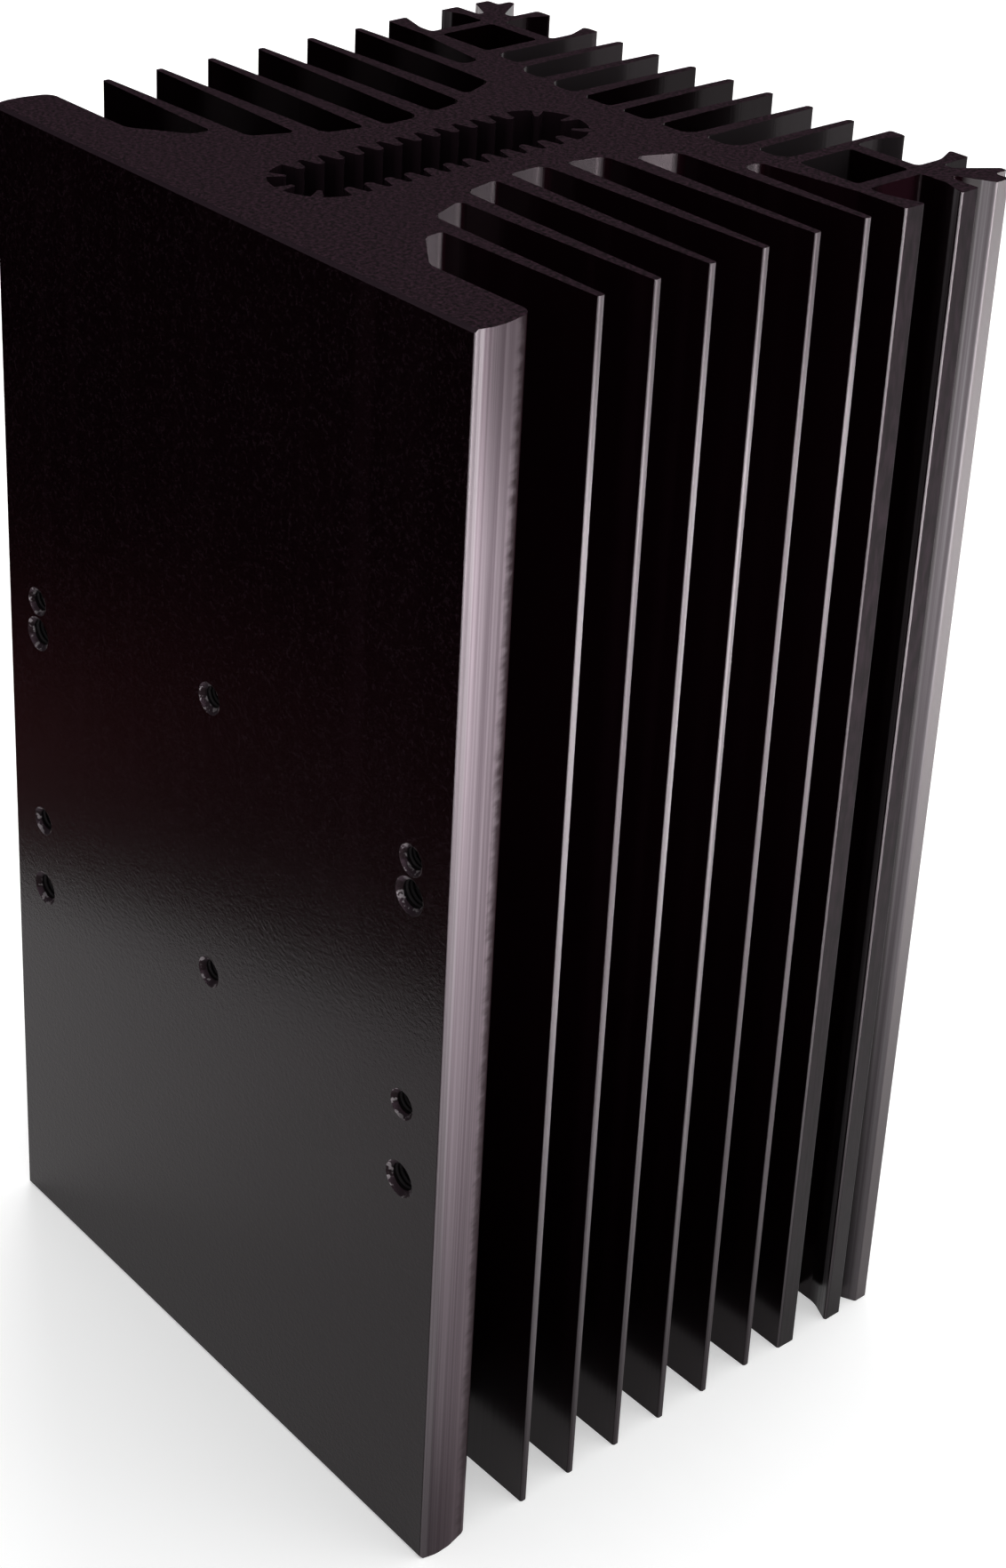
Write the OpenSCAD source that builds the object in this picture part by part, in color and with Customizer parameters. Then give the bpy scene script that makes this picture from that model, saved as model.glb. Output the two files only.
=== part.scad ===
// Extruded heat sink for two module rows: one length of black anodised aluminium profile, standing on its
// cut end. A thick mounting plate at the front carries a waisted web with six fins a side, seven rear fins
// and a square hollow corner block at each rear corner. X runs across the plate, Y goes back from the
// plate's face, Z is the length of the profile. Millimetres.

/* [Overall] */
// Length of the profile between its two cut ends
profile_length = 200; // [120:5:320]
// Width across the mounting plate and the side fin tips
plate_width = 110; // [104:1:124]
// Depth of the profile from the plate's face to the tips of the rear arms
profile_depth = 100.7; // [96:0.1:108]
// Bevel along the plate's front edge at both cut ends
edge_break = 0.5; // [0.2:0.1:1]

/* [Mounting plate] */
// Thickness of the mounting plate
plate_t = 9.8; // [8:0.2:13]
// How far each end of the plate's face stands in from its fullest width
plate_face_inset = 0.65; // [0:0.05:1.2]
// How far the plate's end has drawn in where it meets the back
plate_back_inset = 1.1; // [0.4:0.1:2]
// Rounding between the plate's end and its back
plate_back_round = 2.2; // [0.5:0.1:3]
// Where the front facet of the plate's end stops, as a share of the thickness
plate_facet_front = 0.27; // [0.2:0.01:0.35]
// Where the back facet of the plate's end starts, as a share of the thickness
plate_facet_back = 0.53; // [0.45:0.01:0.6]

/* [Side fins] */
// Fins on each side between the plate and the corner block
side_fins = 6; // [3:1:8]
// From the plate's back to the middle of the first side fin
first_fin_gap = 10.6; // [9:0.1:14]
// Thickness of a side fin at its tip
side_tip_t = 1.2; // [0.8:0.1:2]
// Thickness a side fin gains in each millimetre towards the web
side_taper = 0.055; // [0.02:0.005:0.07]
// Rounding of the fin tips
tip_round = 0.4; // [0.1:0.05:0.5]

/* [Web] */
// Thickness of the web at its waist
waist_t = 27; // [24:0.5:32]
// Radius of the hollow that each side of the web follows
waist_hollow = 32.7; // [31:0.5:60]
// How much of the hollow's slope a slot's end takes
slot_end_slope = 0.67; // [0.4:0.05:1]
// Rounding of a slot's end on the side nearer the waist
slot_near_round = 0.9; // [0.3:0.1:1.4]
// Rounding of a slot's end on the side further from the waist
slot_far_round = 2; // [0.5:0.1:2.4]
// Width of the web where it flares into the plate's back
flare_width = 68.4; // [60:1:74]
// Width of the web where the flare starts
flare_neck = 52.2; // [50:0.5:56]
// How far behind the plate the flare starts
flare_depth = 6.1; // [3:0.1:6.6]

/* [Central cavity] */
// Width of the cavity between opposite valleys
cavity_width = 16; // [14:0.5:17]
// From the plate's face to the middle of the cavity's front tooth pair
cavity_front = 19.6; // [18.5:0.1:22]
// Thickness of the web between the cavity's back and the rear slots
cavity_rear_wall = 8.05; // [7:0.05:10]
// Teeth along each side of the cavity
side_teeth = 12; // [5:1:12]
// How far a tooth stands into the cavity
tooth_height = 3.1; // [1.5:0.1:3.6]
// Thickness of a side tooth at its foot
tooth_foot = 2.8; // [2.2:0.1:3]
// Thickness of a side tooth at its crown
tooth_crown = 1.6; // [1:0.1:2]
// Thickness of the teeth in the rounded ends at their crowns
end_tooth_crown = 0.9; // [0.6:0.1:1.4]

/* [Corner blocks] */
// How far the block's outer wall stands in from the plate's edge
block_inset = 8.1; // [7.4:0.1:9]
// Width of the hollow through each corner block
channel_width = 11.1; // [8:0.1:12]
// Depth of the hollow through each corner block, front to back
channel_depth = 10.7; // [8:0.1:13]
// Thickness of the walls round the hollow
block_wall = 2.3; // [1.8:0.1:2.8]
// From the middle of the last side fin to the block's front face
block_gap = 6.9; // [6:0.1:9]
// How far the block's front wall thickens inwards, towards the web
front_wall_growth = 2.3; // [1:0.1:2.6]
// How far the block's side arms reach past its outer wall
side_reach = 8.7; // [7.6:0.1:10]
// How far the block's rear arms reach past its back wall
rear_reach = 9; // [7.6:0.1:10.5]
// How far each arm's lip closes over its pocket
arm_lip = 1.8; // [1:0.1:2.4]
// Thickness of the two side arms
side_arm_t = 2.1; // [1.6:0.1:2.4]
// Thickness of the rear arm at the block's inner wall
inner_arm_t = 1.4; // [1.1:0.1:2]
// Thickness of the rear arm at the block's outer wall
outer_arm_t = 1.8; // [1.4:0.1:2]
// Depth of the two grooves beside the diagonal arm
groove_floor = 3.3; // [2.8:0.1:3.8]
// How far behind the block the blunt side horn of the diagonal arm starts
side_horn_start = 3.6; // [3.2:0.1:4.4]
// How far beside the block the blunt rear horn of the diagonal arm starts
rear_horn_start = 4.8; // [4.2:0.1:5.2]
// Depth of the square notch in the diagonal arm's end
notch_depth = 2.6; // [1.8:0.1:3.4]

/* [Rear fins] */
// Rear fins on each side of the middle one
rear_side_fins = 3; // [1:1:4]
// Thickness of a rear fin at its tip
rear_tip_t = 1.35; // [1.1:0.05:1.8]
// Thickness a rear fin gains in each millimetre towards the web
rear_taper = 0.045; // [0.02:0.005:0.05]
// Gap from the outermost rear fin to the block, as a share of the fins' pitch
rear_last_gap = 0.795; // [0.7:0.01:1]
// How far the rear fins stop short of the corner blocks' arms
rear_fin_setback = 1; // [0:0.1:3]
// How far the middle slot floors lie in front of the corner blocks
rear_floor_lead = 1.7; // [0:0.1:2.5]
// How much shallower the outermost rear slots are than the middle ones
rear_floor_rise = 3.5; // [1:0.1:5]

/* [Plate holes] */
// Distance between the two columns of side holes
hole_columns = 92.4; // [88:0.2:94]
// Distance between the two large holes of a column
large_pitch = 48; // [40:1:54]
// How far the large holes' middle lies below the plate's middle
large_drop = 9.4; // [8:0.1:12]
// Distance between the two small holes of a column
small_pitch = 40.6; // [38:0.2:44]
// Distance between the two middle holes
centre_pitch = 48; // [40:1:54]
// Core diameter of the large tapped holes (M5)
large_core = 4.3; // [4:0.1:4.6]
// Mouth of the large holes' countersinks
large_mouth = 5.8; // [5.2:0.1:6.4]
// Core diameter of the small and the middle tapped holes (M4)
small_core = 3.4; // [3.2:0.1:3.8]
// Mouth of the small holes' countersinks
small_mouth = 4.8; // [4.2:0.1:5]
// Mouth of the middle holes' countersinks
centre_mouth = 5.1; // [4.6:0.1:6]
// Full depth of the two middle holes, which end in the web
centre_depth = 8.4; // [5:0.2:8.6]

/* [Hidden] */
$fn = 64;
black = [0.05, 0.045, 0.05];
overlap = 0.1;
hair = 0.002;

half_width = plate_width / 2;
facet_round = 6;

// Corner block: the inner and outer faces of its walls
block_out = half_width - block_inset;
block_in = block_out - channel_width - 2 * block_wall;
block_back = profile_depth - rear_reach;
channel_front = block_back - block_wall - channel_depth;
block_front = channel_front - block_wall;
block_corner = 0.8;

// The block's arms
side_tip = block_out + side_reach;
rear_tip = profile_depth;
arm_straight = 4;
arm_round = 5;
arm_lean = 0.1;
arm_root_round = 8;
outer_arm_shift = 0.4;
outer_arm_round = 0.6;
inner_arm_drop = 0.3;
inner_lip_flat = 1;
inner_edge_round = 0.5;
inner_straight = arm_straight + 0.6;
pocket_round = 1;
groove_lip = 0.85;
groove_round = 0.6;
horn_round = 0.5;

// The side fins share out the depth between the plate and the block
first_fin_y = plate_t + first_fin_gap;
last_fin_y = block_front - block_gap;
side_pitch = (last_fin_y - first_fin_y) / (side_fins - 1);
waist_y = (first_fin_y + last_fin_y) / 2;
last_slot_cut = 1;
last_slot_round = 1.4;
flare_foot_round = 3;
flare_neck_round = 2.5;
flare_lean = 0.2;

rear_floor = block_front - rear_floor_lead;
rear_fin_tip = rear_tip - rear_fin_setback;
rear_pitch = block_in / (rear_side_fins + rear_last_gap);
rear_near_round = 1.1;
rear_far_round = 1.3;
rear_far_growth = 1.1;
rear_far_most = 3.2;
rear_tip_round = 0.6;

cavity_half = cavity_width / 2;
cavity_back = rear_floor - cavity_rear_wall - cavity_half;
tooth_pitch = (cavity_back - cavity_front) / (side_teeth - 1);
cavity_hair = 0.01;
crown_hair = 0.1;
tooth_bury = 0.6;
end_tooth_cut = 0.4;

past_plate = plate_t + 1;
drill_point = 0.3;

// ---- rounded outlines: every corner is [x, y, radius], taken anticlockwise ----

function unit(v) = v / norm(v);

// One rounded corner as [middle of its arc, radius, start, corner point, finish, is it convex]
function corner(before, at, after, radius) =
    let (
        p = [at.x, at.y],
        a = [before.x, before.y] - p,
        b = [after.x, after.y] - p,
        half = acos(unit(a) * unit(b)) / 2,
        run = min(radius / tan(half), 0.47 * norm(a), 0.47 * norm(b))
    )
    [
        p + run / cos(half) * unit(unit(a) + unit(b)),
        run * tan(half),
        p + run * unit(a),
        p,
        p + run * unit(b),
        cross(-a, b) > 0
    ];

function corners(points) =
    let (n = len(points))
    [for (i = [0 : n - 1]) corner(points[(i + n - 1) % n], points[i], points[(i + 1) % n], points[i][2])];

// What lies between a corner and its arc, carried a little past the corner. The arc is drawn a hair
// wide, so that it crosses the straight sides cleanly instead of only touching them.
module corner_piece(c) {
    past = (c[1] + overlap) / c[1];
    around = c[5] ? [2, 3, 4] : [4, 3, 2];
    difference() {
        polygon([c[0], for (i = around) c[0] + past * (c[i] - c[0])]);
        translate(c[0]) circle(r = c[1] + hair);
    }
}

module rounded(points) {
    all = corners(points);
    difference() {
        union() {
            polygon([for (p = points) [p.x, p.y]]);
            for (c = all) {
                if (!c[5]) corner_piece(c);
            }
        }
        for (c = all) {
            if (c[5]) corner_piece(c);
        }
    }
}

// ---- the right half of the outline, from the plate's face round to the middle rear fin ----

// Half the web's width at a depth y
function web_half(y) = waist_t / 2 + pow(y - waist_y, 2) / (2 * waist_hollow);

function fin_y(i) = first_fin_y + (i - 1) * side_pitch;

// Half a side fin's thickness at a distance x from the middle
function side_half(x) = (side_tip_t + side_taper * (half_width - x)) / 2;

plate_end = [
    [half_width - plate_face_inset, 0, tip_round],
    [half_width, plate_facet_front * plate_t, facet_round],
    [half_width - arm_lean, plate_facet_back * plate_t, facet_round],
    [half_width - plate_back_inset, plate_t, plate_back_round]
];

flare = [
    [flare_width / 2, plate_t, flare_foot_round],
    [flare_neck / 2, plate_t + flare_depth, flare_neck_round],
    [flare_neck / 2 - flare_lean, first_fin_y - side_half(flare_neck / 2), slot_near_round]
];

function side_tip_points(i) = [
    [half_width, fin_y(i) - side_tip_t / 2, tip_round],
    [half_width, fin_y(i) + side_tip_t / 2, tip_round]
];

// The slot between side fins i and i + 1 ends on a slant that follows the hollow of the web
function side_slot(i) =
    let (
        middle = (fin_y(i) + fin_y(i + 1)) / 2,
        x = web_half(middle),
        rise = slot_end_slope * (middle - waist_y) / waist_hollow * side_pitch / 3,
        ahead = middle < waist_y
    )
    [
        [x - rise, fin_y(i) + side_half(x), ahead ? slot_far_round : slot_near_round],
        [x + rise, fin_y(i + 1) - side_half(x), ahead ? slot_near_round : slot_far_round]
    ];

last_slot = [
    [block_in - last_slot_cut, last_fin_y + side_half(block_in), last_slot_round],
    [block_in - last_slot_cut, block_front - front_wall_growth, last_slot_round]
];

// Two lipped side arms with the pocket between them
side_arms = [
    [block_out, block_front, arm_root_round],
    [side_tip - arm_lean, block_front, tip_round],
    [side_tip, block_front + side_arm_t + arm_lip, tip_round],
    [side_tip - arm_lip - arm_straight, block_front + side_arm_t, arm_round],
    [block_out, block_front + side_arm_t, block_corner],
    [block_out, block_back - block_wall, block_corner],
    [side_tip - arm_straight, block_back - block_wall, arm_round],
    [side_tip, block_back - block_wall - arm_lip, tip_round],
    [side_tip, block_back - block_wall + side_arm_t - arm_lean, tip_round]
];

// The diagonal arm: a groove on each side, and a square notch between two blunt horns
side_horn = side_tip - arm_lean;
side_groove = block_out + groove_floor;
rear_groove = block_back + groove_floor;
outer_arm_x = block_out - block_wall - outer_arm_shift;
diagonal_arm = [
    [side_groove, block_back - block_wall + side_arm_t, groove_round],
    [side_groove, block_back + groove_lip, groove_round],
    [side_horn, block_back + side_horn_start, horn_round],
    [side_horn, rear_tip - notch_depth, horn_round],
    [side_horn - notch_depth, rear_tip - notch_depth, horn_round],
    [side_horn - notch_depth, rear_tip, horn_round],
    [block_out + rear_horn_start, rear_tip, horn_round],
    [block_out + groove_lip, rear_groove, pocket_round],
    [outer_arm_x + outer_arm_t, rear_groove, pocket_round]
];

// Two lipped rear arms with the pocket between them
inner_arm_x = block_in + inner_arm_t;
rear_arms = [
    [outer_arm_x + outer_arm_t, rear_tip, outer_arm_round],
    [outer_arm_x - arm_lip, rear_tip, tip_round],
    [outer_arm_x, rear_tip - arm_straight, arm_round],
    [outer_arm_x, block_back, pocket_round],
    [inner_arm_x, block_back, pocket_round],
    [inner_arm_x, rear_tip - inner_straight, arm_round],
    [inner_arm_x + arm_lip, rear_tip - inner_arm_drop, tip_round],
    [inner_arm_x + arm_lip - inner_lip_flat, rear_tip, tip_round],
    [block_in, rear_tip, inner_edge_round]
];

// Half a rear fin's thickness at a depth y
function rear_half(y) = (rear_tip_t + rear_taper * (rear_fin_tip - y)) / 2;

// Rear slot i lies outside rear fin i, counted from the middle fin as 0
function rear_floor_y(i) = rear_floor + rear_floor_rise * pow((i + 0.5) / (rear_side_fins + 0.5), 3);

function rear_slot(i) =
    let (y = rear_floor_y(i), outer = (i + 1) * rear_pitch - rear_half(y))
    [
        [i == rear_side_fins ? block_in : outer, y, min(rear_far_round + rear_far_growth * i, rear_far_most)],
        [i * rear_pitch + rear_half(y), y, rear_near_round]
    ];

function rear_tip_points(i) = [
    [i * rear_pitch + rear_tip_t / 2, rear_fin_tip, rear_tip_round],
    [i * rear_pitch - rear_tip_t / 2, rear_fin_tip, rear_tip_round]
];

right_half = [
    each plate_end,
    each flare,
    for (i = [1 : side_fins]) each [
        each side_tip_points(i),
        if (i < side_fins) each side_slot(i)
    ],
    each last_slot,
    each side_arms,
    each diagonal_arm,
    each rear_arms,
    for (i = [rear_side_fins : -1 : 0]) each [
        each rear_slot(i),
        rear_tip_points(i)[0],
        if (i > 0) rear_tip_points(i)[1]
    ]
];

function mirrored(points) = [for (i = [len(points) - 1 : -1 : 0]) [-points[i].x, points[i].y, points[i][2]]];

module outline() {
    rounded(concat(right_half, mirrored(right_half)));
}

// ---- hollows through the profile ----

// A tooth whose foot is buried in the cavity's wall, pointing at the origin
module tooth(foot, crown, height) {
    tip = cavity_half - height + crown / 2;
    body = crown - crown_hair;
    root = foot + (foot - body) * tooth_bury / (cavity_half - tip);
    foot_x = cavity_half + tooth_bury;
    polygon([[foot_x, root / 2], [tip, body / 2], [tip, -body / 2], [foot_x, -root / 2]]);
    translate([tip, 0]) circle(d = crown);
}

module end_teeth(directions) {
    for (a = directions) {
        rotate(a) tooth(2 * end_tooth_crown, end_tooth_crown, tooth_height - end_tooth_cut);
    }
}

module cavity() {
    difference() {
        union() {
            translate([0, cavity_front]) circle(r = cavity_half + cavity_hair);
            translate([0, cavity_back]) circle(r = cavity_half + cavity_hair);
            translate([-cavity_half, cavity_front]) square([cavity_width, cavity_back - cavity_front]);
        }
        for (i = [0 : side_teeth - 1], side = [0, 180]) {
            translate([0, cavity_front + i * tooth_pitch])
                rotate(side) tooth(tooth_foot, tooth_crown, tooth_height);
        }
        translate([0, cavity_front]) end_teeth([-135, -90, -45]);
        translate([0, cavity_back]) end_teeth([45, 90, 135]);
    }
}

module channel() {
    rounded([
        [block_in + block_wall, channel_front, block_corner],
        [block_out - block_wall, channel_front, block_corner],
        [block_out - block_wall, channel_front + channel_depth, block_corner],
        [block_in + block_wall, channel_front + channel_depth, block_corner]
    ]);
}

module section() {
    difference() {
        outline();
        cavity();
        channel();
        mirror([1, 0]) channel();
    }
}

// ---- the plate's holes and bevels ----

// A countersunk hole going back from the plate's face; a blind one ends in a drill point
module plate_hole(core, mouth, depth, blind) {
    sink = (mouth - core) / 2;
    rotate([-90, 0, 0]) {
        translate([0, 0, -overlap]) cylinder(d = core, h = depth + overlap);
        translate([0, 0, -overlap]) cylinder(d1 = mouth + 2 * overlap, d2 = core, h = sink + overlap);
        if (blind) translate([0, 0, depth]) cylinder(d1 = core, d2 = 0, h = drill_point * core);
    }
}

module holes() {
    middle = profile_length / 2;
    for (x = [-1, 1] * hole_columns / 2, side = [-0.5, 0.5]) {
        translate([x, 0, middle - large_drop + side * large_pitch])
            plate_hole(large_core, large_mouth, past_plate, false);
        translate([x, 0, middle + side * small_pitch])
            plate_hole(small_core, small_mouth, past_plate, false);
    }
    for (side = [-0.5, 0.5]) {
        translate([0, 0, middle + side * centre_pitch])
            plate_hole(small_core, centre_mouth, centre_depth, true);
    }
}

module face_bevels() {
    side = edge_break * sqrt(2);
    reach = plate_width + 2 * overlap;
    for (z = [0, profile_length]) {
        translate([0, 0, z]) rotate([45, 0, 0]) cube([reach, side, side], center = true);
    }
}

// The origin is the middle of the footprint that the profile stands on
module heat_sink() {
    color(black)
    translate([0, -rear_tip / 2, 0])
    difference() {
        linear_extrude(height = profile_length) section();
        holes();
        face_bevels();
    }
}

heat_sink();
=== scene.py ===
"""Extruded heat sink in black anodised aluminium: dressed model, studio and camera."""
import math
from collections import namedtuple

import bmesh
import bpy
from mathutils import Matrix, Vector


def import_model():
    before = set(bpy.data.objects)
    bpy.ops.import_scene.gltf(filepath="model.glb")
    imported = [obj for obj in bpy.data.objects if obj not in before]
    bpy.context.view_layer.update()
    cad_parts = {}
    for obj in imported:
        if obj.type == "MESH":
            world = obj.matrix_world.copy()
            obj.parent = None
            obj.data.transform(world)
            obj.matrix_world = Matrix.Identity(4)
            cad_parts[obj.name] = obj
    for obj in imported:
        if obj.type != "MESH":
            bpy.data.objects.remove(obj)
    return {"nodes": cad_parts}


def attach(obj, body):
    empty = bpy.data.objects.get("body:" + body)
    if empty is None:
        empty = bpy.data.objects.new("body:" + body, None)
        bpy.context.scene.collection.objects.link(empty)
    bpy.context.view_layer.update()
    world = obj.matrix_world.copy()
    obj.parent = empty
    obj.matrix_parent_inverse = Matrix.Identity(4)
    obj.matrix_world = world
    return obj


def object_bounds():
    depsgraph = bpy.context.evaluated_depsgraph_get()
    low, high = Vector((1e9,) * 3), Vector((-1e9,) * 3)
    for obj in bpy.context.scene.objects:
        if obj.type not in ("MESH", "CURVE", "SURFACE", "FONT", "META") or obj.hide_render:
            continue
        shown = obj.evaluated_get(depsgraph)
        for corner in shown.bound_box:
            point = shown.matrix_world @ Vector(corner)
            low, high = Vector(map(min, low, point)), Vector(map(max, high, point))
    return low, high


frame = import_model()
CAD_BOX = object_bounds()
MM = 0.001

# The whole part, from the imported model
LOW, HIGH = CAD_BOX
FACE_Y = LOW.y
DEPTH = HIGH.y - LOW.y
LENGTH = HIGH.z - LOW.z
MIDDLE = LENGTH / 2

# Places and sizes repeated from part.scad, in metres; depths are measured back from the plate's face
PLATE_T = 9.8 * MM
BLOCK_FRONT = 76.4 * MM
COLUMN_X = 46.2 * MM
LARGE_DROP = 9.4 * MM
HALF_LARGE_PITCH = 24 * MM
HALF_SMALL_PITCH = 20.3 * MM
HALF_CENTRE_PITCH = 24 * MM
CENTRE_THREAD_DEPTH = 8.0 * MM
M5_CORE, M5_PITCH = 2.15 * MM, 0.8 * MM
M4_CORE, M4_PITCH = 1.7 * MM, 0.7 * MM
LARGE_MOUTH, SMALL_MOUTH, CENTRE_MOUTH = 2.9 * MM, 2.4 * MM, 2.55 * MM

LARGE_Z = (MIDDLE - LARGE_DROP + HALF_LARGE_PITCH, MIDDLE - LARGE_DROP - HALF_LARGE_PITCH)
SMALL_Z = (MIDDLE + HALF_SMALL_PITCH, MIDDLE - HALF_SMALL_PITCH)
CENTRE_Z = (MIDDLE + HALF_CENTRE_PITCH, MIDDLE - HALF_CENTRE_PITCH)
COLUMNS_X = (-COLUMN_X, COLUMN_X)

# core and mouth are radii, depth is that of the threaded part, pitch is the thread's
Hole = namedtuple("Hole", "x z core mouth depth pitch")
HOLES = (
    [Hole(x, z, M5_CORE, LARGE_MOUTH, PLATE_T, M5_PITCH) for x in COLUMNS_X for z in LARGE_Z]
    + [Hole(x, z, M4_CORE, SMALL_MOUTH, PLATE_T, M4_PITCH) for x in COLUMNS_X for z in SMALL_Z]
    + [Hole(0.0, z, M4_CORE, CENTRE_MOUTH, CENTRE_THREAD_DEPTH, M4_PITCH) for z in CENTRE_Z]
)

# Linear colours; a pair is mixed by a noise
FILM = ((0.0018, 0.0004, 0.0008, 1), (0.0034, 0.0009, 0.0016, 1))
FILM_STREAK = (0.006, 0.0022, 0.0036, 1)
FACE_SPECK = (0.008, 0.004, 0.0058, 1)
SAWN_END = ((0.0005, 0.0001, 0.0003, 1), (0.0235, 0.0095, 0.0165, 1))
# Plate ends: worn film, lighter also as a painted highlight
PLATE_END_WEAR_AND_HIGHLIGHT = ((0.055, 0.043, 0.050, 1), (0.105, 0.087, 0.097, 1))
# Fin tips: worn film, lighter also as a painted highlight
TIP_WEAR_AND_HIGHLIGHT = ((0.055, 0.048, 0.052, 1), (0.12, 0.110, 0.116, 1))
ARM_END = ((0.0004, 0.0001, 0.0003, 1), (0.0040, 0.0020, 0.0032, 1))
# Painted highlight on the slots' inner ends
SLOT_END_HIGHLIGHT = (0.032, 0.027, 0.0295, 1)
# Painted light on the cavity's walls
CAVITY_WALL_LIGHT = (0.014, 0.008, 0.011, 1)
# Painted highlight on the diagonal arms' horns
HORN_HIGHLIGHT = (0.085, 0.078, 0.080, 1)
# Painted highlight on the small bevels along the cut ends' front edges
BEVEL_HIGHLIGHT = (0.018, 0.011, 0.015, 1)
BARE_METAL = (0.20, 0.18, 0.19, 1)
BORE = (0.006, 0.005, 0.0055, 1)
THREAD = ((0.004, 0.003, 0.0035, 1), (0.03, 0.026, 0.028, 1))

# The film's mirroring: weak, and tinted a little purple
FILM_IOR = 1.22
FILM_TINT = (1.0, 0.80, 0.87, 1)

# Where a mask fades in, from its start to its end
IN_FACE = (0.9 * MM, 0.5 * MM)
IN_PLATE = (PLATE_T + 1 * MM, PLATE_T)
IN_BLOCK = (BLOCK_FRONT - 2 * MM, BLOCK_FRONT - 1 * MM)
IN_CONE = (0.95 * MM, 0.75 * MM)
THROUGH_PLATE = (PLATE_T + 0.2 * MM, PLATE_T)
OUTERMOST = (53.6 * MM, 54.2 * MM)
ARM_EDGE = (53.4 * MM, 53.8 * MM)
HORN_OUT = (51 * MM, 52.5 * MM)
HORN_BACK = (DEPTH - 8.6 * MM, DEPTH - 7.6 * MM)
REARMOST = (DEPTH - 1.6 * MM, DEPTH - 1.2 * MM)
PLATE_EDGE = (1.5 * MM, 1.1 * MM)
# Where the plate end's painted highlight stops towards the back, and how far a noise moves that edge
PLATE_HIGHLIGHT_EDGE = (9.6 * MM, 7.6 * MM)
EDGE_NOISE_REACH = 2.4 * MM
HOLE_EDGE = (0.12 * MM, -0.08 * MM)
SLOT_INNER_X = (10.5 * MM, 12 * MM)
SLOT_OUTER_X = (42 * MM, 40 * MM)
CAVITY_X = (9 * MM, 8 * MM)
CAVITY_FRONT = (11 * MM, 12 * MM)
CAVITY_BACK = (72 * MM, 70 * MM)
# The same, measured from the nearer cut end
SLOT_PALE = (26 * MM, 4 * MM)
CAVITY_PALE = (30 * MM, 3 * MM)
# Over this the wear and painted highlight on tips and plate ends grow from half to full strength
END_FADE = (2 * MM, 34 * MM)
# The same, for how far a surface faces a direction
FACES_OUT = (0.3, 0.8)


def add_object(name, data):
    obj = bpy.data.objects.new(name, data)
    bpy.context.collection.objects.link(obj)
    return obj


# ---- camera at the photograph's viewing angle ----

def make_camera():
    data = bpy.data.cameras.new("camera")
    data.sensor_width = 36
    data.lens = 64.16
    data.shift_x = 0.1175
    data.shift_y = -0.1970
    data.clip_start = 0.01
    data.clip_end = 50
    cam = add_object("camera", data)
    cam.location = Vector((287.36, -259.12, 326.79)) * MM
    up_from_floor, roll, heading = 64.8658, -1.0128, 51.9948
    cam.rotation_euler = [math.radians(angle) for angle in (up_from_floor, roll, heading)]
    bpy.context.scene.camera = cam


make_camera()


# ---- small helpers for node materials ----

class Nodes:
    """Builds a node tree with short calls. An input may be a number, a colour or another node's output."""

    def __init__(self, tree):
        self.tree = tree
        tree.nodes.clear()

    def add(self, kind, settings=None, **inputs):
        """A new node. Inputs are given by name, with _ for a space, or by number as i0, i1 and so on."""
        node = self.tree.nodes.new(kind)
        for key, value in (settings or {}).items():
            setattr(node, key, value)
        for key, value in inputs.items():
            by_number = key[0] == "i" and key[1:].isdigit()
            self.put(node.inputs[int(key[1:]) if by_number else key.replace("_", " ")], value)
        return node

    def put(self, socket, value):
        if isinstance(value, bpy.types.NodeSocket):
            self.tree.links.new(value, socket)
        else:
            socket.default_value = value

    def math(self, op, a, b=0.0, clamp=False):
        return self.add("ShaderNodeMath", {"operation": op, "use_clamp": clamp}, i0=a, i1=b).outputs[0]

    def times(self, first, *others):
        """The product of masks or numbers."""
        for other in others:
            first = self.math("MULTIPLY", first, other)
        return first

    def most(self, first, *others):
        """The largest of several masks."""
        for other in others:
            first = self.math("MAXIMUM", first, other)
        return first

    def less(self, first, *others):
        """A mask with others taken out of it."""
        for other in others:
            first = self.math("SUBTRACT", first, other, clamp=True)
        return first

    def step(self, value, start, end):
        """0 at start, 1 at end, smooth between. The start may be the larger."""
        node = self.add("ShaderNodeMapRange", {"interpolation_type": "SMOOTHSTEP"}, Value=value)
        node.inputs["From Min"].default_value = start
        node.inputs["From Max"].default_value = end
        return node.outputs[0]

    def mix(self, factor, a, b):
        """Two colours mixed."""
        node = self.add("ShaderNodeMix", {"data_type": "RGBA"})
        self.put(node.inputs["Factor"], factor)
        self.put(node.inputs["A"], a)
        self.put(node.inputs["B"], b)
        return node.outputs["Result"]

    def blend(self, factor, a, b):
        """Two numbers mixed."""
        node = self.add("ShaderNodeMix", {"data_type": "FLOAT"})
        for key, value in (("Factor", factor), ("A", a), ("B", b)):
            self.put(next(s for s in node.inputs if s.name == key and s.type == "VALUE"), value)
        return next(s for s in node.outputs if s.type == "VALUE")

    def noise(self, where, scale, stretch=(1, 1, 1), detail=2.0, rough=0.55):
        mapped = self.add("ShaderNodeMapping", Vector=where, Scale=stretch).outputs[0]
        node = self.add("ShaderNodeTexNoise", Vector=mapped, Scale=scale, Detail=detail, Roughness=rough)
        return node.outputs["Fac"]

    def place(self):
        return self.add("ShaderNodeTexCoord").outputs["Object"]

    def looked_at(self):
        """1 for rays that show a surface, straight, in gloss or through glass, and 0 for rays that light."""
        rays = self.add("ShaderNodeLightPath").outputs
        return self.most(rays["Is Camera Ray"], rays["Is Glossy Ray"], rays["Is Transmission Ray"])

    def output(self, shader, kind="ShaderNodeOutputMaterial"):
        self.add(kind, Surface=shader)


def new_material(name):
    mat = bpy.data.materials.new(name)
    mat.use_nodes = True
    return mat, Nodes(mat.node_tree)


# ---- the anodised film and what is worn, sawn or bare in it ----

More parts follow.
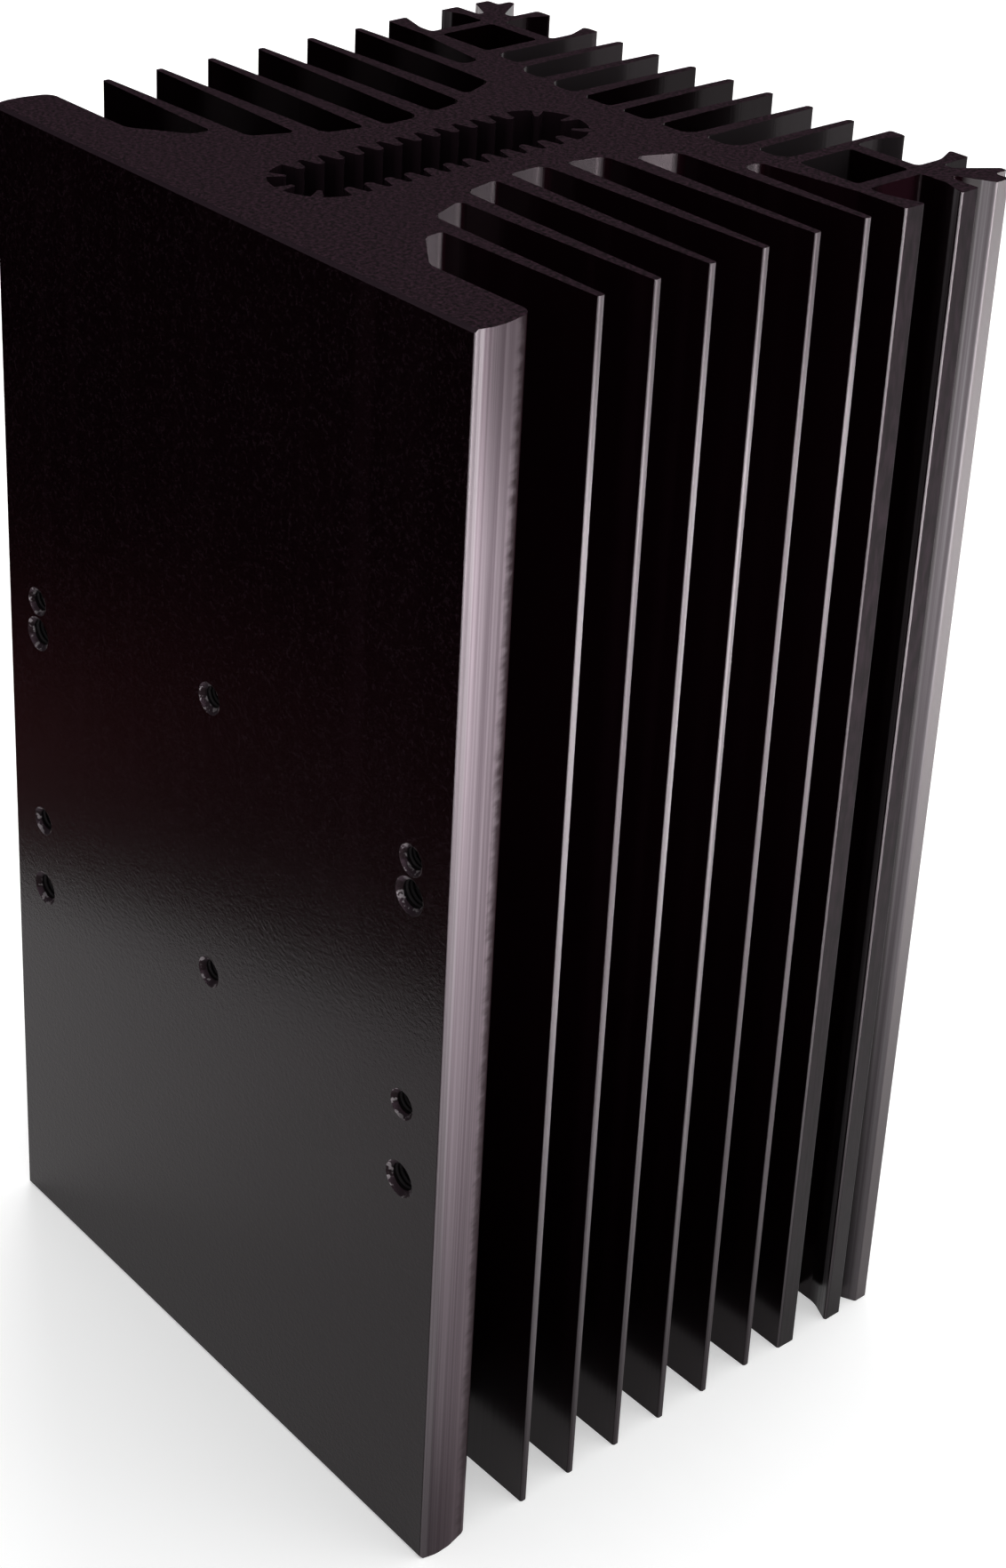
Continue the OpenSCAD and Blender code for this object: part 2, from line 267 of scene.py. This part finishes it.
def anodised(name):
    mat, n = new_material(name)
    where = n.place()
    x, y, z = n.add("ShaderNodeSeparateXYZ", Vector=where).outputs
    normal = n.add("ShaderNodeNewGeometry").outputs["True Normal"]
    nx, ny, nz = n.add("ShaderNodeSeparateXYZ", Vector=normal).outputs
    abs_x = n.math("ABSOLUTE", x)
    abs_nx = n.math("ABSOLUTE", nx)
    abs_nz = n.math("ABSOLUTE", nz)
    behind = n.math("SUBTRACT", y, FACE_Y)
    from_end = n.math("SUBTRACT", MIDDLE, n.math("ABSOLUTE", n.math("SUBTRACT", z, MIDDLE)))

    # Masks of the cut ends and of the surfaces along the length
    cut_end = n.step(abs_nz, 0.9, 0.97)
    side = n.math("SUBTRACT", 1.0, cut_end)
    front = n.times(side, n.step(behind, *IN_FACE))
    in_plate = n.step(behind, *IN_PLATE)
    in_block = n.step(behind, *IN_BLOCK)

    # The outermost faces: plate ends, fin tips, arm ends and the horns of the diagonal arms
    outward = n.times(side, n.step(abs_nx, *FACES_OUT), n.step(abs_x, *OUTERMOST))
    plate_end = n.times(outward, in_plate)
    arm_end = n.times(outward, in_block)
    fin_tip = n.less(outward, plate_end, arm_end)
    rear_tip = n.times(side, n.step(ny, *FACES_OUT), n.step(behind, *REARMOST))
    # The horns' mask carries a painted highlight
    horn_highlight = n.times(
        side,
        n.step(abs_nx, 0.3, 0.6),
        n.step(abs_x, *HORN_OUT),
        n.step(behind, *HORN_BACK),
    )
    # The arms' lip corners get the tips' colour as a painted highlight
    arm_corner_highlight = n.times(
        side,
        in_block,
        n.step(abs_x, *ARM_EDGE),
        n.step(ny, -0.25, -0.5),
        n.step(abs_nx, 0.2, 0.4),
    )
    # A painted highlight on the bevels
    bevel_highlight = n.times(n.step(abs_nz, 0.2, 0.4), n.step(ny, -0.3, -0.6))

    # Painted highlights on the slots' ends and painted light on the cavity's walls, paler towards the cut
    # ends, where light gets in
    slot_end_highlight = n.times(
        side,
        n.step(abs_nx, 0.6, 0.85),
        n.step(abs_x, *SLOT_OUTER_X),
        n.step(abs_x, *SLOT_INNER_X),
        n.step(from_end, *SLOT_PALE),
    )
    cavity_wall_light = n.times(
        side,
        n.step(abs_x, *CAVITY_X),
        n.step(behind, *CAVITY_FRONT),
        n.step(behind, *CAVITY_BACK),
        n.step(from_end, *CAVITY_PALE),
    )

    # The tapped holes: both sides are alike, so the right half and the middle stand for all
    flat = n.add("ShaderNodeCombineXYZ", X=abs_x, Y=0.0, Z=z).outputs[0]
    near_holes = []
    for hole in HOLES:
        if hole.x >= 0:
            away = n.add("ShaderNodeVectorMath", {"operation": "DISTANCE"}, i0=flat, i1=(hole.x, 0.0, hole.z))
            edge = [hole.mouth + reach for reach in HOLE_EDGE]
            near_holes.append(n.step(away.outputs["Value"], *edge))
    in_hole = n.most(*near_holes)
    through_plate = n.step(behind, *THROUGH_PLATE)
    cone = n.times(in_hole, n.step(behind, *IN_CONE))
    bore = n.times(n.less(in_hole, cone), through_plate)

    # Fine structure: saw grain, drawn lines along the length, slow clouds, torn edges, and a noisy edge to
    # the plate ends' painted highlight
    along, slow_along = (1, 1, 0.004), (1, 1, 0.006)
    grain = n.noise(where, 1700.0, rough=0.75)
    cloud = n.noise(where, 26.0)
    lines = n.noise(where, 1500.0, stretch=along, rough=0.65)
    soft_lines = n.noise(where, 220.0, stretch=slow_along, detail=1.0)
    torn = n.noise(where, 900.0)
    edge_noise = n.noise(where, 260.0, stretch=(1, 1, 3))
    mottle = n.noise(where, 900.0, stretch=(1, 1, 0.25), rough=0.7)
    drawn = n.step(lines, 0.3, 0.75)

    # Wear and painted highlight fade towards the cut ends, and on the plate's ends they stop at a noisy edge
    # near the back
    end_fade = n.blend(n.step(from_end, *END_FADE), 0.5, 1.0)
    noisy_depth = n.math("ADD", behind, n.times(edge_noise, EDGE_NOISE_REACH))
    plate_wear_and_highlight = n.times(plate_end, n.step(noisy_depth, *PLATE_HIGHLIGHT_EDGE), end_fade)
    # A painted highlight along the front edge of the plate's end
    plate_edge_highlight = n.times(plate_end, n.step(behind, *PLATE_EDGE), 0.6)
    # Fin tips, front and rear, get wear and a painted highlight
    tip_wear_and_highlight = n.most(n.times(fin_tip, end_fade), n.times(rear_tip, 0.6))
    bare = n.times(cone, n.step(torn, 0.54, 0.62), side)

    # Colour
    film = n.mix(cloud, *FILM)
    film = n.mix(n.times(n.step(soft_lines, 0.5, 0.8), 0.4), film, FILM_STREAK)
    film = n.mix(n.times(front, n.step(grain, 0.52, 0.68)), film, FACE_SPECK)
    sawn = n.mix(n.step(grain, 0.35, 0.7), *SAWN_END)
    plate_ends_worn_and_highlighted = n.mix(drawn, *PLATE_END_WEAR_AND_HIGHLIGHT)
    tips_worn_and_highlighted = n.mix(drawn, *TIP_WEAR_AND_HIGHLIGHT)
    arms = n.mix(n.step(mottle, 0.35, 0.7), *ARM_END)
    colour = n.mix(cut_end, film, sawn)
    for mask, layer in (
        (plate_wear_and_highlight, plate_ends_worn_and_highlighted),
        (plate_edge_highlight, tips_worn_and_highlighted),
        (tip_wear_and_highlight, tips_worn_and_highlighted),
        (arm_end, arms),
        (n.times(slot_end_highlight, 0.8), SLOT_END_HIGHLIGHT),
        (cavity_wall_light, CAVITY_WALL_LIGHT),
        (horn_highlight, HORN_HIGHLIGHT),
        (arm_corner_highlight, tips_worn_and_highlighted),
        (bevel_highlight, BEVEL_HIGHLIGHT),
        (n.times(bare, 0.8), BARE_METAL),
        (bore, BORE),
    ):
        colour = n.mix(mask, colour, layer)

    # Gloss
    rough = n.blend(cloud, 0.17, 0.20)
    hole_wall = n.times(in_hole, through_plate)
    for mask, value in ((cut_end, 0.8), (outward, 0.42), (arm_end, 0.36), (hole_wall, 0.6)):
        rough = n.blend(mask, rough, value)
    metal = n.most(n.times(n.most(bare, plate_end, rear_tip), 0.5), n.times(n.most(fin_tip, horn_highlight), 0.2))

    # Relief
    height = n.blend(front, n.times(lines, 0.8), n.times(grain, 1.6))
    height = n.blend(cut_end, height, grain)
    bump = n.add("ShaderNodeBump", Height=height, Strength=0.3, Distance=0.06 * MM)

    shader = n.add(
        "ShaderNodeBsdfPrincipled",
        Base_Color=colour,
        Roughness=rough,
        Metallic=metal,
        Normal=bump.outputs[0],
        IOR=FILM_IOR,
        Specular_Tint=FILM_TINT,
    )
    n.output(shader.outputs[0])
    return mat


def thread_metal(name):
    mat, n = new_material(name)
    cloud = n.noise(n.place(), 700.0)
    shader = n.add(
        "ShaderNodeBsdfPrincipled",
        Base_Color=n.mix(cloud, *THREAD),
        Roughness=n.blend(cloud, 0.5, 0.7),
        Metallic=0.2,
        IOR=FILM_IOR,
    )
    n.output(shader.outputs[0])
    return mat


# ---- threads in the tapped holes ----

THREAD_START = 1.1 * MM
THREAD_SHORT = 1.6 * MM
THREAD_HEIGHT = 0.16 * MM
THREAD_BURIED = 0.02 * MM
THREAD_FOOT, THREAD_CREST = 0.46, 0.06
STEPS_ROUND = 28


def thread(hole, name):
    """A helical ridge on the bore's wall, from just behind the countersink to near the hole's end."""
    turns = (hole.depth - THREAD_SHORT) / hole.pitch
    root = hole.core + THREAD_BURIED
    crest = hole.core - THREAD_HEIGHT
    # The ridge's section as (radius, place along the bore in pitches)
    section = [(root, -THREAD_FOOT), (crest, -THREAD_CREST), (crest, THREAD_CREST), (root, THREAD_FOOT)]
    mesh = bmesh.new()
    rings = []
    for i in range(int(turns * STEPS_ROUND) + 1):
        angle = 2 * math.pi * i / STEPS_ROUND
        y = FACE_Y + THREAD_START + hole.pitch * i / STEPS_ROUND
        c, s = math.cos(angle), math.sin(angle)
        ring = [(hole.x + r * c, y + t * hole.pitch, hole.z + r * s) for r, t in section]
        rings.append([mesh.verts.new(point) for point in ring])
    for one, two in zip(rings, rings[1:]):
        for k in range(3):
            mesh.faces.new((one[k], one[k + 1], two[k + 1], two[k]))
    data = bpy.data.meshes.new(name)
    bmesh.ops.recalc_face_normals(mesh, faces=mesh.faces)
    mesh.to_mesh(data)
    mesh.free()
    return add_object(name, data)


sink = frame["nodes"]["heat_sink"]
black = anodised("black_anodised")
for slot in sink.material_slots:
    slot.material = black
if not sink.material_slots:
    sink.data.materials.append(black)

metal = thread_metal("thread_metal")
for i, hole in enumerate(HOLES):
    piece = thread(hole, "thread_%d" % i)
    piece.data.materials.append(metal)
    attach(piece, "root")


# ---- studio ----

FLOOR_HALF = 6.0
FLOOR_WHITE = (0.86, 0.86, 0.86, 1)
FLOOR_GLOW = 0.42
WORLD_LIGHT, WORLD_SEEN = 0.45, 1.0


def plain_floor():
    """Pale floor. Its glow only shows to the eye and in reflections, and doesn't light the part."""
    mesh = bpy.data.meshes.new("floor")
    h = FLOOR_HALF
    mesh.from_pydata([(-h, -h, 0), (h, -h, 0), (h, h, 0), (-h, h, 0)], [], [(0, 1, 2, 3)])
    floor = add_object("floor", mesh)
    mat, n = new_material("floor_white")
    diffuse = n.add("ShaderNodeBsdfDiffuse", Color=FLOOR_WHITE)
    glow = n.add("ShaderNodeEmission", Strength=n.times(n.looked_at(), FLOOR_GLOW))
    n.output(n.add("ShaderNodeAddShader", i0=diffuse.outputs[0], i1=glow.outputs[0]).outputs[0])
    mesh.materials.append(mat)


def world():
    """Soft even light, and plain white where the eye or a reflection looks past the floor."""
    w = bpy.data.worlds.new("world")
    bpy.context.scene.world = w
    w.use_nodes = True
    n = Nodes(w.node_tree)
    strength = n.blend(n.looked_at(), WORLD_LIGHT, WORLD_SEEN)
    back = n.add("ShaderNodeBackground", Color=(1, 1, 1, 1), Strength=strength)
    n.output(back.outputs[0], "ShaderNodeOutputWorld")


def lamp(name, place, target, size, watts, spread=180):
    data = bpy.data.lights.new(name, "AREA")
    data.shape = "RECTANGLE"
    data.size, data.size_y = size
    data.energy = watts
    data.spread = math.radians(spread)
    obj = add_object(name, data)
    obj.location = place
    obj.visible_camera = False
    aim = Vector(target) - Vector(place)
    obj.rotation_mode = "QUATERNION"
    obj.rotation_quaternion = aim.to_track_quat("-Z", "Y")


def flag(name, corners, faces, felt):
    """A studio flag that only reflections see: it darkens or tints what the metal mirrors."""
    mesh = bpy.data.meshes.new(name)
    mesh.from_pydata(corners, [], faces)
    piece = add_object(name, mesh)
    mat, n = new_material(name + "_felt")
    n.output(felt(n))
    mesh.materials.append(mat)
    piece.visible_camera = False
    piece.visible_shadow = False
    piece.visible_diffuse = False


def up(height):
    return Vector((0, 0, height))


def front_flag():
    """Dark felt to the front left, which the plate's upper part mirrors. Its near edge glows dull red, a
    painted reflection in the plate.
    """
    left = Vector((-0.219, -0.063, 0.002))
    right = Vector((0.041, -0.1805, 0.002))
    hem = (right - left).normalized()
    away = Vector((hem.y, -hem.x, 0.0))
    out = Vector((-0.55, -0.84, 0.0))
    past_left, past_right = 0.84, 0.34
    near = [left - hem * past_left, right + hem * past_right]
    far = [p + out * 1.2 + up(0.02) for p in near]
    high = [p + out * 0.5 + up(1.6) for p in far]
    glow_width = 0.15
    reflected_red_glow = (1.0, 0.33, 0.34, 1)
    glow_rise = (-0.11, -0.20)
    faint, strong = 0.10, 0.25

    # The glowing edge is a painted reflection: it lights nothing and only shows mirrored in the plate
    def felt(n):
        where = n.place()
        reach = n.add("ShaderNodeVectorMath", {"operation": "DOT_PRODUCT"}, i0=where, i1=away)
        reach = n.math("SUBTRACT", reach.outputs["Value"], left.dot(away))
        along = n.add("ShaderNodeSeparateXYZ", Vector=where).outputs["X"]
        glow = n.blend(n.step(along, *glow_rise), faint, strong)
        strength = n.times(n.step(reach, glow_width, 0.0), glow)
        return n.add("ShaderNodeEmission", Color=reflected_red_glow, Strength=strength).outputs[0]

    corners = [near[0], near[1], far[1], far[0], high[1], high[0]]
    flag("front_flag", corners, [(0, 1, 2, 3), (3, 2, 4, 5)], felt)


def rear_flag():
    """Dark felt high at the rear left, which the upper cut end mirrors towards the camera."""
    centre = Vector((-0.709, 0.563, 0.0)).normalized()
    across = Vector((-centre.y, centre.x, 0.0))
    half = 2.2
    low = [centre * 1.6 + across * w + up(0.30) for w in (-half, half)]
    high = [centre * 0.5 + across * w + up(2.4) for w in (-half, half)]

    def felt(n):
        return n.add("ShaderNodeBsdfDiffuse", Color=(0.004, 0.003, 0.003, 1)).outputs[0]

    flag("rear_flag", [low[0], low[1], high[1], high[0]], [(0, 1, 2, 3)], felt)


plain_floor()
world()
front_flag()
rear_flag()
# The key's narrow beam is aimed at three quarters of the fins' height, well above the level of the rest. In
# it the tips, worn and with a painted highlight, render up to six or seven times as bright as written, and
# the plate's end nearly four
lamp("key_right", (0.60, -0.03, 0.12), (0.055, -0.01, 0.148), size=(0.26, 0.08), watts=0.55, spread=25)
lamp("fill_rear_left", (-0.85, 0.62, 0.10), (-0.02, 0.0, 0.12), size=(0.5, 0.12), watts=2.2, spread=60)
lamp("top", (0.1, 0.2, 1.4), (0, 0, 0.1), size=(0.9, 0.9), watts=10)
bpy.context.scene.view_settings.view_transform = "Standard"
